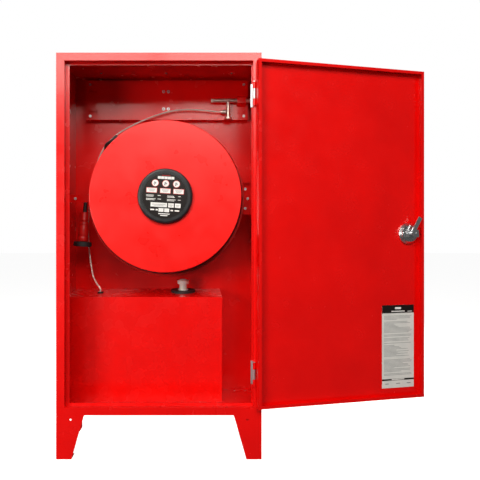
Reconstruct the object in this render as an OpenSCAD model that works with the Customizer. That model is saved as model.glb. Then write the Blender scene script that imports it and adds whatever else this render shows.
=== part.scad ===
// Free-standing hose reel cabinet with a foam tank below the reel.
// Origin: centre of the footprint on the floor. +X right, +Y to the back, +Z up.
// The door is drawn closed and then turned about its hinge pins to door_open.

/* [Cabinet] */
// Outside width of the body
body_w = 700; // [620:1:900]
// Outside depth of the body
body_d = 340; // [320:1:440]
// Height of the body without its legs
body_h = 1235; // [1100:1:1500]
// Thickness of the body sheet
sheet_t = 1.5; // [1:0.1:2]
// Width of the front frame's face at the sides
face_side = 28; // [24:0.5:36]
// Width of the front frame's face at the top and the bottom
face_end = 26.5; // [22:0.5:36]
// Depth of the rebate that the door sits in
rebate_d = 25; // [24.6:0.1:32]
// Width of the door stop at the latch side
stop_latch = 13; // [8:0.5:16]
// Width of the door stop at the hinge side
stop_hinge = 4; // [3:0.5:6]
// Width of the door stop at the top and the bottom
stop_end = 9; // [5:0.5:12]

/* [Legs] */
// Height of the legs
leg_h = 150; // [120:1:200]
// Width of a leg where it meets the body
leg_top_w = 95; // [80:1:110]
// Width of a leg at the floor
leg_foot_w = 52; // [44:1:70]
// Width of the rear face of a rear leg
leg_rear_w = 27; // [26:1:40]
// Thickness of the leg sheet
leg_t = 2.5; // [2:0.1:4]
// Radius of the floor bolt hole in each foot
foot_hole_r = 4.5; // [4:0.5:5]

/* [Door] */
// Angle from closed at which the door stands
door_open = 194.4; // [0:0.1:195]
// Depth of the door pan
door_d = 22; // [18:0.5:24]
// Thickness of the door sheet
door_t = 1.2; // [1:0.1:1.6]
// Gap round the door in its frame
door_gap = 3; // [2:0.5:4]
// Width of the lip folded inwards round the door
door_lip = 10.5; // [8:0.5:14]
// Distance from each end of the door to the middle of its hinge
hinge_inset = 112; // [90:1:160]
// Distance from the free edge of the door to the latch centre
latch_inset = 55; // [50:1:70]
// Length of the latch cam from its spindle
cam_len = 66; // [62:1:70]
// Angle of the cam from vertical as it stands
cam_rest = 30; // [0:1:35]
// Width of the instruction sheet on the door
label_w = 130; // [100:1:160]
// Height of the instruction sheet on the door
label_h = 298; // [200:1:320]

/* [Reel] */
// Height of the reel axle above the floor
reel_z = 902; // [880:1:940]
// Distance of the reel axle to the right of the middle
reel_x = 18; // [10:1:22]
// Distance from the front of the body to the front disc
reel_front = 84; // [80:1:95]
// Width between the two reel discs
reel_w = 103; // [95:1:105]
// Radius of the front disc
front_disc_r = 271; // [255:1:275]
// Radius of the rear disc
rear_disc_r = 289; // [270:1:290]
// Radius of the drum
drum_r = 141; // [130:1:150]
// Outside radius of the wound hose
pack_r = 254; // [240:1:255]
// Radius of the hub cap
cap_r = 97.5; // [90:0.5:105]
// Radius of the hollow axle
axle_r = 20; // [16:0.5:22]

/* [Tank] */
// Distance from the front of the body to the tank
tank_front = 162; // [150:1:170]
// Width of the tank
tank_w = 572; // [520:1:600]
// Height of the tank at its front
tank_h = 385; // [340:1:400]
// How much higher the back of the tank is than its front
tank_rise = 16; // [0:1:18]
// Thickness of the tank wall
tank_t = 2; // [1.5:0.1:3]

/* [Pipework] */
// Height of the inlet pipe above the floor
pipe_z = 1291; // [1285:1:1300]
// Radius of the inlet pipe
pipe_r = 8.5; // [8:0.1:9]
// Radius of the bore of the inlet pipe
pipe_bore_r = 6; // [4:0.1:6.5]
// Depth of the back rail
rail_d = 30; // [26:1:34]
// Height of the back rail
rail_h = 153; // [140:1:160]

/* [Hidden] */
$fn = 96;
// Clearances
fit = 0.05;
seat = 0.3;
// Body
front_y = -body_d / 2;
back_y = body_d / 2;
base_z = leg_h;
top_z = leg_h + body_h;
in_x = body_w / 2 - sheet_t;
in_back = back_y - sheet_t;
floor_z = base_z + sheet_t;
open_x = body_w / 2 - face_side;
open_z0 = base_z + face_end;
open_z1 = top_z - face_end;
stop_y = front_y + rebate_d;
// Legs
leg_hole_x = 49;
leg_hole_z = base_z - 15;
leg_hole_r = 3.5;
foot_bolt_in = [14.5, 30];
leg_bolt_r = 4;
leg_bolt_in = [26, 68];
// Door, as it stands when closed
door_x0 = -open_x + door_gap;
door_x1 = open_x - door_gap - 2;
door_z0 = open_z0 + door_gap;
door_z1 = open_z1 - door_gap;
door_y1 = front_y + door_d;
pin_x = open_x + 1.4;
pin_y = front_y - 8;
pin_r = 2.5;
knuckle_r = 4.5;
leaf_t = 1.5;
leaf_h = 79;
knuckle_h = 34;
knuckle_gap = 0.4;
hinge_z = [door_z0 + hinge_inset, door_z1 - hinge_inset];
latch_x = door_x0 + latch_inset;
latch_z = (door_z0 + door_z1) / 2 + 3;
dish_r = 38;
dish_d = 17;
dish_t = 1.5;
spindle_r = 5;
bridge_t = 3;
bridge_w = 26;
bridge_y = front_y + door_t + dish_d;
cam_t = 3;
cam_w = 15;
cam_y = stop_y + sheet_t + 3;
latch_screw_x = 26;
label_t = 0.4;
label_inset = 29;
label_z0 = door_z0 + 35;
// Reel
disc_t = 1.5;
rim_d = 7;
crown_r = rear_disc_r - 8;
reel_y0 = front_y + reel_front;
reel_y1 = reel_y0 + reel_w + disc_t;
crown_y1 = reel_y1 - rim_d - 1;
crown_y0 = crown_y1 - 55.5;
bush_r = axle_r + 7;
bush_flange_r = 42;
bush_flange_t = 3;
bar_y = reel_y1 + disc_t + 10;
bar_t = 4;
bar_h = 28;
plate_s = 110;
plate_t = 4;
cap_d = 16;
cap_t = 2.5;
label_r = 79.5;
// Brackets that carry the bar
bracket_h = 121;
bracket_w = 43;
bracket_t = 3;
bracket_wall = 36;
bracket_bolt_z = 36.5;
left_wall = 40;
left_front = 36;
// Nozzle, which leans to the left as it hangs
nozzle_x = -286;
nozzle_y = bar_y + bar_t + 9;
nozzle_lean = 4.4;
nozzle_top = reel_z - 2;
neck_len = 48;
collar_len = 34;
grip_len = 78;
bumper_len = 18;
bumper_r = 34;
neck_r = 6;
neck_top_r = 6.3;
spigot_r = 5.4;
neck_foot_r = 8.3;
neck_spigot = 13.7;
clip_t = 1.2;
clip_h = 12;
clip_down = 0.5;
elbow_r = 14;
whip_r = 6;
// Tank
tank_x0 = -in_x + 0.5;
tank_y0 = front_y + tank_front;
tank_y1 = in_back - 0.5;
tank_z1 = floor_z + tank_h;
tank_slope = atan(tank_rise / (tank_y1 - tank_y0));
filler_x = 80;
filler_y = 100;
filler_r = 16;
gasket_r = 47;
gasket_t = 8;
tube_x = -236;
tube_y = 72;
tube_r = 3;
grommet_r = 11;
grommet_h = 5;
function tank_top(y) = tank_z1 + (y - tank_y0) * tan(tank_slope);
// Pipework
rail_x = reel_x - 2;
rail_w = 636;
rail_t = 2;
rail_z1 = top_z - 12;
rail_z0 = rail_z1 - rail_h;
rail_y = in_back - rail_d;
pipe_y = rail_y - 16;
pipe_x0 = 195;
pipe_out = 22;
inlet_spigot_len = 12;
tee_x = 256;
tee_r = 7.5;
tee_len = 66;
tee_flange_r = 15;
nut_z = pipe_z - 44;
nut_r = 8.5;
clamp_x = rail_x + 291;
clamp_w = 34;
clamp_t = 2;
clamp_z = 45;
slot_z = 39.5;
slot_x = 290;
slot_w = 28;
slot_h = 14;
slot_t = 2.4;
side_hole_r = 14;
wall_bolt = 320;
wall_bolt_r = 5.5;
wall_bolt_z = 900;
// Route of the suction tube, from the nut on the tee to the grommet on the tank
tube_route = [
    [225.7, 122.5, 1247], [200, 121, 1249], [170, 120, 1252], [135, 120, 1255], [100, 120, 1256],
    [70, 120, 1255], [44, 120, 1252], [13, 120, 1245], [-18, 120, 1236], [-46, 120, 1226],
    [-73, 120, 1215], [-101, 120, 1203], [-128, 120, 1189], [-152, 120, 1176], [-175, 120, 1161],
    [-197, 120, 1143], [-214, 120, 1126], [-229, 120, 1107], [-245, 120, 1075], [-258, 120, 1040],
    [-268, 120, 1003], [-276, 120, 965], [-282, 120, 925], [-286, 120, 885], [-289, 119, 845],
    [-290, 117, 805], [-289, 114, 765], [-287, 110, 725], [-282, 105, 685], [-275, 98, 645],
    [-266, 90, 605], [-257, 83.5, 589], [-247.5, 77, 575.5], [-239.5, 72, 566.5],
    [-236, 70.63, 558.86], [-236, 71.54, 548.9]
];
// Route of the short hose between the nozzle's elbow and the wound hose
whip_route = [
    [-257.2, 43, 911.83], [-246.3, 43, 910.99], [-234, 43, 913.5], [-222, 43, 921.5],
    [-213, 43, 932], [-206, 43, 945], [-202, 43, 960], [-199, 43, 976], [-197, 43, 993],
    [-196, 43, 1010], [-196, 43, 1028], [-196, 43, 1046], [-200.6, 41, 1063.8],
    [-206.6, 37, 1077.5], [-208.9, 29.5, 1089], [-207.3, 19.5, 1097.8], [-200.6, 8, 1103.8],
    [-190.6, -3, 1107], [-180.8, -12, 1111.5], [-170.6, -19, 1118.9], [-160.9, -23, 1126.9]
];

// Helpers

// A box given by its lowest and highest corners
module block(low, high)
    translate(low) cube([high[0] - low[0], high[1] - low[1], high[2] - low[2]]);

// A cylinder along Y from y0 to y1, centred on x and z
module rod_y(x, z, y0, y1, r)
    translate([x, y1, z]) rotate([90, 0, 0]) cylinder(h = y1 - y0, r = r);

// A cylinder along X from x0 to x1, centred on y and z
module rod_x(y, z, x0, x1, r)
    translate([x0, y, z]) rotate([0, 90, 0]) cylinder(h = x1 - x0, r = r);

// A ring along Y
module ring_y(x, z, y0, y1, r_out, r_in)
    difference() {
        rod_y(x, z, y0, y1, r_out);
        rod_y(x, z, y0 - 1, y1 + 1, r_in);
    }

// A profile in (radius, distance to the back) turned about the reel axle
module turned_y(x, z)
    translate([x, 0, z]) rotate([-90, 0, 0]) rotate_extrude() children();

// Turns what is drawn on the closed door to where the door stands
module on_door()
    translate([pin_x, pin_y, 0]) rotate([0, 0, door_open]) translate([-pin_x, -pin_y, 0]) children();

// Turns what is drawn on an upright cam to the angle at which the cam stands
module on_cam()
    on_door() translate([latch_x, 0, latch_z]) rotate([0, -cam_rest, 0]) children();

// A round tube of eight sides swept along a route of points
function unit(v) = v / norm(v);
function aim(p, i) = unit(p[min(i + 1, len(p) - 1)] - p[max(i - 1, 0)]);
function side_of(d) = unit(cross(d, abs(d[1]) < 0.8 ? [0, 1, 0] : [1, 0, 0]));
module swept(route, r) {
    sides = 8;
    count = len(route);
    rings = [for (i = [0:count - 1])
        let (d = aim(route, i), u = side_of(d), v = cross(d, u))
        for (k = [0:sides - 1])
            route[i] + r * (cos(360 * k / sides) * u + sin(360 * k / sides) * v)];
    walls = [for (i = [0:count - 2]) for (k = [0:sides - 1])
        let (a = i * sides + k, b = i * sides + (k + 1) % sides)
        [a, b, b + sides, a + sides]];
    first = [for (k = [0:sides - 1]) sides - 1 - k];
    last = [for (k = [0:sides - 1]) (count - 1) * sides + k];
    polyhedron(points = rings, faces = concat([first], walls, [last]), convexity = 10);
}

// Body

module body_wrap() {
    color("red")
        difference() {
            block([-body_w / 2, front_y + sheet_t, base_z], [body_w / 2, back_y, top_z]);
            block([-in_x, front_y - 1, base_z - 1], [in_x, back_y + 1, top_z - sheet_t]);
            rod_x(pipe_y, pipe_z, in_x - 1, body_w / 2 + 1, side_hole_r);
        }
}

module floor_pan() {
    color("red")
        difference() {
            block([-in_x, front_y + sheet_t, base_z], [in_x, back_y, floor_z]);
            for (x = leg_bolt_in) for (s = [-1, 1]) for (t = [-1, 1])
                translate([s * (body_w / 2 - x), t * (body_d / 2 - leg_bolt_in[0]), base_z - 1])
                    cylinder(h = sheet_t + 2, r = leg_bolt_r + fit);
        }
}

module back_panel() {
    color("red")
        difference() {
            block([-in_x, in_back, floor_z], [in_x, back_y, top_z - sheet_t]);
            for (s = [-1, 1]) for (t = [-1, 1])
                rod_y(s * wall_bolt / 2, wall_bolt_z + t * wall_bolt / 2, in_back - 1, back_y + 1, wall_bolt_r);
        }
}

module front_frame() {
    color("red")
        difference() {
            union() {
                block([-body_w / 2, front_y, base_z], [body_w / 2, front_y + sheet_t, top_z]);
                block(
                    [-open_x - sheet_t, front_y, open_z0 - sheet_t],
                    [open_x + sheet_t, stop_y + sheet_t, open_z1 + sheet_t]
                );
            }
            block([-open_x, front_y - 1, open_z0], [open_x, stop_y, open_z1]);
            block(
                [-open_x + stop_latch, stop_y - 1, open_z0 + stop_end],
                [open_x - stop_hinge, stop_y + sheet_t + 1, open_z1 - stop_end]
            );
        }
}

// One face of a leg, given its widths at the floor and at the top
module leg_face(foot_w, top_w)
    polygon([[0, 0], [foot_w, 0], [top_w, leg_h], [0, leg_h]]);

// One leg: two faces, a top flange that is bolted up and a foot with a floor bolt hole
module leg(s, t, foot_w, top_w)
    translate([s * body_w / 2, t * body_d / 2, 0])
        mirror([s > 0 ? 1 : 0, 0, 0])
            mirror([0, t > 0 ? 1 : 0, 0])
                color("red")
                    difference() {
                        union() {
                            translate([0, leg_t, 0])
                                rotate([90, 0, 0])
                                    linear_extrude(leg_t)
                                        leg_face(foot_w, top_w);
                            rotate([90, 0, 90]) linear_extrude(leg_t) leg_face(leg_foot_w, leg_top_w);
                            cube([foot_w, leg_foot_w, leg_t]);
                            translate([0, 0, leg_h - leg_t]) cube([leg_top_w, leg_top_w, leg_t]);
                        }
                        translate([foot_bolt_in[0], foot_bolt_in[1], -1])
                            cylinder(h = leg_t + 2, r = foot_hole_r);
                        for (x = leg_bolt_in)
                            translate([x, leg_bolt_in[0], leg_h - leg_t - 1])
                                cylinder(h = leg_t + 2, r = leg_bolt_r + fit);
                        translate([leg_hole_x, leg_t + 1, leg_hole_z]) rotate([90, 0, 0])
                            cylinder(h = leg_t + 2, r = leg_hole_r);
                    }

module left_front_leg() leg(-1, -1, leg_foot_w, leg_top_w);
module right_front_leg() leg(1, -1, leg_foot_w, leg_top_w);
module left_rear_leg() leg(-1, 1, leg_rear_w, leg_rear_w);
module right_rear_leg() leg(1, 1, leg_rear_w, leg_rear_w);

module leg_bolts() {
    color("silver")
        for (x = leg_bolt_in) for (s = [-1, 1]) for (t = [-1, 1])
            translate([s * (body_w / 2 - x), t * (body_d / 2 - leg_bolt_in[0]), base_z - leg_t - 5])
                union() {
                    cylinder(h = 5, r = 7, $fn = 6);
                    cylinder(h = 5 + leg_t + sheet_t, r = leg_bolt_r);
                }
}

module side_rivets() {
    color("red")
        for (s = [-1, 1]) for (z = [307, 615, 932, 1149])
            mirror([s > 0 ? 1 : 0, 0, 0]) rod_x(front_y + 14, z, -body_w / 2 - 2, -body_w / 2, 4);
}

module ceiling_screws() {
    color("silver")
        for (x = [-249, 0, 249])
            translate([rail_x + x, front_y + 240, top_z - sheet_t - 2]) cylinder(h = 2, r = 4);
}

// Pipework

// An I-shaped slot that a clamp tab hooks into
module clamp_slot(x, z) {
    block([x - slot_w / 2, rail_y - 1, z - slot_t / 2], [x + slot_w / 2, rail_y + rail_t + 1, z + slot_t / 2]);
    for (s = [-1, 1])
        block(
            [x + s * slot_w / 2 - slot_t, rail_y - 1, z - slot_h / 2],
            [x + s * slot_w / 2 + slot_t, rail_y + rail_t + 1, z + slot_h / 2]
        );
}

module back_rail() {
    color("firebrick")
        difference() {
            block([rail_x - rail_w / 2, rail_y, rail_z0], [rail_x + rail_w / 2, in_back, rail_z1]);
            block(
                [rail_x - rail_w / 2 - 1, rail_y + rail_t, rail_z0 + rail_t],
                [rail_x + rail_w / 2 + 1, in_back + 1, rail_z1 - rail_t]
            );
            for (s = [-1, 1]) for (t = [-1, 1])
                clamp_slot(rail_x + s * slot_x, pipe_z + t * slot_z);
        }
}

module rail_screws() {
    color("silver")
        for (s = [-1, 1]) for (t = [-1, 1])
            rod_y(rail_x + s * 302, (rail_z0 + rail_z1) / 2 + t * 62, rail_y - 2.5, rail_y, 5.5);
}

module rail_rivets() {
    color("silver")
        for (s = [-1, 1]) for (t = [-1, 1])
            ring_y(rail_x - 4 + s * 9.5, (rail_z0 + rail_z1) / 2 + t * 34, rail_y - 1.5, rail_y, 6, 2.5);
}

// A strap over the pipe, drawn in (distance to the back, height) and pushed out along X
module pipe_clamp() {
    arch_y = pipe_y - pipe_r - seat;
    arch_z = pipe_r + seat + clamp_t;
    color("firebrick")
        translate([clamp_x - clamp_w / 2, 0, pipe_z])
            rotate([90, 0, 90])
                linear_extrude(clamp_w)
                    union() {
                        for (s = [-1, 1])
                            polygon([
                                [rail_y - clamp_t, s * clamp_z],
                                [rail_y, s * clamp_z],
                                [rail_y, s * (arch_z + 8)],
                                [arch_y, s * (arch_z - clamp_t)],
                                [arch_y - clamp_t, s * arch_z],
                                [rail_y - clamp_t, s * (arch_z + 10)]
                            ]);
                        translate([arch_y - clamp_t, -arch_z]) square([clamp_t, 2 * arch_z]);
                    }
}

module clamp_pad() {
    color("dimgray")
        difference() {
            block([clamp_x - 13, pipe_y, pipe_z - 10], [clamp_x + 13, rail_y, pipe_z + 10]);
            rod_x(pipe_y, pipe_z, clamp_x - 14, clamp_x + 14, pipe_r + fit);
        }
}

module inlet_pipe() {
    color("silver")
        difference() {
            union() {
                rod_x(pipe_y, pipe_z, pipe_x0, body_w / 2 + pipe_out - inlet_spigot_len, pipe_r);
                rod_x(pipe_y, pipe_z, pipe_x0 + 3, body_w / 2 + pipe_out, pipe_r - 0.5);
            }
            rod_x(pipe_y, pipe_z, pipe_x0 + 6, body_w / 2 + pipe_out + 1, pipe_bore_r);
        }
}

module pipe_plug() {
    color("dimgray")
        rod_x(pipe_y, pipe_z, pipe_x0 - 6, pipe_x0, pipe_r - 1);
}

module inlet_grommet() {
    color("dimgray")
        difference() {
            union() {
                rod_x(pipe_y, pipe_z, in_x - 3, in_x, side_hole_r + 4);
                rod_x(pipe_y, pipe_z, in_x - 1, body_w / 2 + 1, side_hole_r - fit);
                rod_x(pipe_y, pipe_z, body_w / 2, body_w / 2 + 3, side_hole_r + 4);
            }
            rod_x(pipe_y, pipe_z, in_x - 4, body_w / 2 + 4, pipe_r + fit);
        }
}

module tee_leg() {
    color("silver")
        difference() {
            union() {
                translate([tee_x, pipe_y, pipe_z - tee_len]) cylinder(h = tee_len, r = tee_r);
                translate([tee_x, pipe_y, pipe_z - tee_len - 6]) cylinder(h = 7, r = tee_flange_r);
            }
            rod_x(pipe_y, pipe_z, tee_x - 20, tee_x + 20, pipe_r + fit);
            translate([tee_x, pipe_y, pipe_z - tee_len - 7]) cylinder(h = tee_len - 10, r = tee_r - 2.5);
        }
}

module tube_nut() {
    color("silver")
        difference() {
            union() {
                rod_x(pipe_y, nut_z, tee_x - 24, tee_x - tee_r - 2, nut_r);
                rod_x(pipe_y, nut_z, tee_x - tee_r - 3, tee_x, 4);
                rod_x(pipe_y, nut_z, tee_x - 30, tee_x - 23, nut_r - 2.5);
            }
            translate([tee_x, pipe_y, nut_z - 10]) cylinder(h = 20, r = tee_r + fit);
        }
}

module suction_tube() {
    color("white") swept(tube_route, tube_r);
}

// Tank

module tank_profile(inset)
    polygon([
        [tank_y0 + inset, floor_z + inset],
        [tank_y1 - inset, floor_z + inset],
        [tank_y1 - inset, tank_top(tank_y1 - inset) - inset],
        [tank_y0 + inset, tank_top(tank_y0 + inset) - inset]
    ]);

// Stands a piece on the sloping top of the tank
module on_tank(x, y)
    translate([x, y, tank_top(y) + fit]) rotate([tank_slope, 0, 0]) children();

module foam_tank() {
    color("red")
        difference() {
            translate([tank_x0, 0, 0]) rotate([90, 0, 90]) linear_extrude(tank_w) tank_profile(0);
            translate([tank_x0 + tank_t, 0, 0]) rotate([90, 0, 90])
                linear_extrude(tank_w - 2 * tank_t) tank_profile(tank_t);
            on_tank(filler_x, filler_y) translate([0, 0, -10]) cylinder(h = 20, r = filler_r);
            on_tank(tube_x, tube_y) translate([0, 0, -10]) cylinder(h = 20, r = tube_r + 3);
        }
}

module tank_gasket() {
    color("dimgray")
        on_tank(filler_x, filler_y)
            difference() {
                cylinder(h = gasket_t, r = gasket_r);
                translate([0, 0, -1]) cylinder(h = gasket_t + 2, r = filler_r);
            }
}

module tank_cap() {
    color("white")
        on_tank(filler_x, filler_y)
            union() {
                translate([0, 0, -6]) cylinder(h = gasket_t + 7, r = filler_r - seat);
                translate([0, 0, gasket_t]) cylinder(h = 28, r = 14.3);
                translate([0, 0, gasket_t]) cylinder(h = 2, r = 20);
                translate([0, 0, gasket_t + 24]) cylinder(h = 13, r = 22);
                translate([0, 0, gasket_t + 36.5]) cylinder(h = 5, r1 = 20, r2 = 13);
            }
}

module tube_grommet() {
    color("dimgray")
        on_tank(tube_x, tube_y)
            difference() {
                union() {
                    translate([0, 0, -5]) cylinder(h = 6, r = tube_r + 3 - fit);
                    cylinder(h = grommet_h, r = grommet_r);
                }
                translate([0, 0, -6]) cylinder(h = 5, r = tube_r + fit);
            }
}

module dip_tube() {
    color("white")
        translate([tube_x, tube_y, floor_z + 12])
            cylinder(h = tank_top(tube_y) - floor_z - 12 - 3, r = tube_r - 0.4);
}

// Reel carrier

module reel_bar() {
    color("red")
        difference() {
            block(
                [-in_x + bracket_t, bar_y, reel_z - bar_h / 2],
                [in_x - 6, bar_y + bar_t, reel_z + bar_h / 2]
            );
            rod_y(reel_x, reel_z, bar_y - 1, bar_y + bar_t + 1, axle_r - 8);
        }
}

module right_bracket() {
    color("firebrick")
        difference() {
            union() {
                block(
                    [in_x - bracket_w, bar_y + bar_t, reel_z - bracket_h / 2],
                    [in_x, bar_y + bar_t + bracket_t, reel_z + bracket_h / 2]
                );
                block(
                    [in_x - bracket_t, bar_y + bar_t, reel_z - bracket_h / 2],
                    [in_x, bar_y + bar_t + bracket_wall, reel_z + bracket_h / 2]
                );
                for (s = [-1, 1])
                    translate([0, 0, s * (bracket_h / 2 - bracket_t / 2)])
                        block(
                            [in_x - bracket_w, bar_y - 8, reel_z - bracket_t / 2],
                            [in_x - 8, bar_y + bar_t + 1, reel_z + bracket_t / 2]
                        );
            }
        }
}

module left_bracket() {
    color("red")
        union() {
            block(
                [-in_x, bar_y - left_wall, reel_z - bar_h / 2],
                [-in_x + bracket_t, bar_y + bar_t, reel_z + bar_h / 2]
            );
            block(
                [-in_x, bar_y - bracket_t, reel_z - bar_h / 2],
                [-in_x + left_front, bar_y, reel_z + bar_h / 2]
            );
        }
}

module bracket_bolts() {
    color("silver")
        union() {
            for (s = [-1, 1])
                rod_y(in_x - bracket_w + 8, reel_z + s * bracket_bolt_z, bar_y + bar_t - 4, bar_y + bar_t, 5);
            rod_x(bar_y - 24, reel_z, -in_x + bracket_t, -in_x + bracket_t + 4, 5);
            rod_y(-in_x + 26, reel_z, bar_y - bracket_t - 4, bar_y - bracket_t, 5);
            rod_y(in_x - 26, reel_z, bar_y - 4, bar_y, 5);
        }
}

module axle_plate() {
    color("silver")
        difference() {
            block(
                [reel_x - plate_s / 2, bar_y - plate_t, reel_z - plate_s / 2],
                [reel_x + plate_s / 2, bar_y, reel_z + plate_s / 2]
            );
            rod_y(reel_x, reel_z, bar_y - plate_t - 1, bar_y + 1, axle_r + fit);
        }
}

// The hollow axle: full size in the reel, stepped down where it passes the bar
module axle_tube() {
    color("silver")
        difference() {
            union() {
                rod_y(reel_x, reel_z, reel_y0 - 9, bar_y, axle_r);
                rod_y(reel_x, reel_z, bar_y - 1, bar_y + bar_t + 18, axle_r - 8 - fit);
            }
            rod_y(reel_x, reel_z, reel_y0 - 3, bar_y + bar_t + 19, 7);
        }
}

module axle_nut() {
    color("silver")
        difference() {
            translate([reel_x, bar_y + bar_t + 8, reel_z]) rotate([90, 0, 0]) cylinder(h = 8, r = 21, $fn = 6);
            rod_y(reel_x, reel_z, bar_y, bar_y + bar_t + 9, axle_r - 8);
        }
}

module retaining_ring() {
    color("silver")
        ring_y(reel_x, reel_z, reel_y0 - 8.5, reel_y0 - 6.3, axle_r + 8, axle_r + fit);
}

module swivel_elbow() {
    mid_y = bar_y + bar_t + 32;
    color("goldenrod")
        difference() {
            union() {
                rod_y(reel_x, reel_z, bar_y + bar_t + 8.3, mid_y, 18);
                translate([reel_x, mid_y, reel_z]) sphere(r = 18);
                translate([reel_x, mid_y, reel_z]) cylinder(h = 62, r = 16);
                translate([reel_x, mid_y, reel_z + 40]) cylinder(h = 12, r = 21, $fn = 6);
            }
            rod_y(reel_x, reel_z, bar_y + bar_t + 7, bar_y + bar_t + 20, axle_r - 8);
            rod_y(reel_x, reel_z, bar_y + bar_t + 19, mid_y, 9);
            translate([reel_x, mid_y, reel_z]) cylinder(h = 63, r = 9);
        }
}

// Reel

module front_bush() {
    color("goldenrod")
        turned_y(reel_x, reel_z)
            polygon([
                [axle_r + fit, reel_y0 - 6],
                [bush_r, reel_y0 - 6],
                [bush_r, reel_y0 + disc_t],
                [bush_flange_r, reel_y0 + disc_t],
                [bush_flange_r, reel_y0 + disc_t + bush_flange_t],
                [bush_r, reel_y0 + disc_t + bush_flange_t],
                [bush_r, reel_y0 + 20],
                [axle_r + fit, reel_y0 + 20]
            ]);
}

module rear_bush() {
    color("goldenrod")
        turned_y(reel_x, reel_z)
            polygon([
                [axle_r + fit, reel_y1 - 20],
                [bush_r, reel_y1 - 20],
                [bush_r, reel_y1 - bush_flange_t],
                [bush_flange_r, reel_y1 - bush_flange_t],
                [bush_flange_r, reel_y1],
                [bush_r, reel_y1],
                [bush_r, bar_y - plate_t - seat],
                [axle_r + fit, bar_y - plate_t - seat]
            ]);
}

module drum() {
    color("firebrick")
        ring_y(reel_x, reel_z, reel_y0 + disc_t, reel_y1, drum_r, drum_r - 1.5);
}

// The front disc: flat sheet with its edge turned back
module front_disc() {
    color("red")
        turned_y(reel_x, reel_z)
            union() {
                translate([bush_r + fit, reel_y0]) square([front_disc_r - bush_r - fit - 2, disc_t]);
                translate([front_disc_r - disc_t, reel_y0 + 2]) square([disc_t, rim_d - 2]);
                intersection() {
                    translate([front_disc_r - 2, reel_y0 + 2])
                        difference() {
                            circle(r = 2);
                            circle(r = 2 - disc_t);
                        }
                    translate([front_disc_r - 2, reel_y0]) square([2, 2]);
                }
            }
}

module rear_disc() {
    color("red")
        turned_y(reel_x, reel_z)
            union() {
                translate([bush_r + fit, reel_y1]) square([rear_disc_r - bush_r - fit, disc_t]);
                translate([rear_disc_r - disc_t, reel_y1 - rim_d]) square([disc_t, rim_d + disc_t]);
            }
}

module hub_cap() {
    color("dimgray")
        turned_y(reel_x, reel_z)
            polygon([
                [0, reel_y0 - cap_d + 0.8],
                [label_r + 0.5, reel_y0 - cap_d + 0.8],
                [label_r + 0.5, reel_y0 - cap_d - 1],
                [cap_r - 8, reel_y0 - cap_d - 1],
                [cap_r - 3, reel_y0 - cap_d + 1],
                [cap_r, reel_y0 - cap_d + 5],
                [cap_r, reel_y0],
                [cap_r - cap_t, reel_y0],
                [cap_r - cap_t, reel_y0 - cap_d + 6],
                [cap_r - cap_t - 3, reel_y0 - cap_d + 0.8 + cap_t],
                [0, reel_y0 - cap_d + 0.8 + cap_t]
            ]);
}

module hub_label() {
    color("black")
        rod_y(reel_x, reel_z, reel_y0 - cap_d + 0.3, reel_y0 - cap_d + 0.8, label_r);
}

// The wound hose has a crown of two loose outer turns, which stand higher than the front disc
module hose_pack() {
    color("black")
        turned_y(reel_x, reel_z)
            polygon([
                [drum_r + seat, reel_y0 + disc_t + 1], [pack_r, reel_y0 + disc_t + 1],
                [pack_r, crown_y0], [crown_r, crown_y0],
                [crown_r, crown_y1], [pack_r, crown_y1],
                [pack_r, reel_y1 - 1], [drum_r + seat, reel_y1 - 1]
            ]);
}

// Nozzle

// Places a piece on the leaning axis of the nozzle, a distance below the bend of its neck
module on_nozzle(down)
    translate([nozzle_x, nozzle_y, nozzle_top])
        rotate([0, nozzle_lean, 0]) translate([0, 0, -down]) children();

// The neck is a cone with an elbow on top, which turns to the right behind the bar.
// The elbow starts a little inside the cone and the spigot a little inside the elbow
module nozzle_neck() {
    color("dimgray")
        on_nozzle(0)
            union() {
                translate([0, 0, -neck_len]) cylinder(h = neck_len, r1 = neck_foot_r, r2 = neck_top_r);
                translate([elbow_r, 0, 0])
                    rotate([90, 0, 0]) rotate([0, 0, 90])
                        rotate_extrude(angle = 95) translate([elbow_r, 0]) circle(r = neck_r);
                translate([0, 0, elbow_r]) rod_x(0, 0, elbow_r - 3, elbow_r + neck_spigot, spigot_r);
            }
}

// The clip is a C round the neck, open to the right, with a foot on the back of the bar
module nozzle_clip() {
    inner = neck_top_r + (neck_foot_r - neck_top_r) * (clip_down + clip_h) / neck_len + seat;
    color("silver")
        difference() {
            on_nozzle(clip_down + clip_h)
                union() {
                    cylinder(h = clip_h, r = inner + clip_t);
                    translate([-inner - clip_t, bar_y + bar_t - nozzle_y - 1, 0])
                        cube([2 * inner, nozzle_y - bar_y - bar_t + 1, clip_h]);
                }
            on_nozzle(clip_down + clip_h + 1) cylinder(h = clip_h + 2, r = inner);
            on_nozzle(clip_down + clip_h + 1)
                translate([0, -neck_r - seat, 0]) cube([40, 2 * (neck_r + seat), clip_h + 2]);
            block([nozzle_x - 40, bar_y - 1, reel_z - 40], [nozzle_x + 40, bar_y + bar_t, reel_z + 40]);
        }
}

module nozzle_whip() {
    color("dimgray") swept(whip_route, whip_r);
}

module nozzle_body() {
    color("red")
        on_nozzle(neck_len + collar_len + grip_len)
            difference() {
                union() {
                    cylinder(h = grip_len - 2, r1 = 20, r2 = 16);
                    translate([0, 0, grip_len * 0.16]) cylinder(h = 3, r = 20.6);
                    translate([0, 0, grip_len - 3]) cylinder(h = 4, r = 13);
                    translate([0, 0, grip_len]) cylinder(h = collar_len, r1 = 15.5, r2 = 13);
                }
                translate([0, 0, -1]) cylinder(h = 30, r = 9);
            }
}

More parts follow.
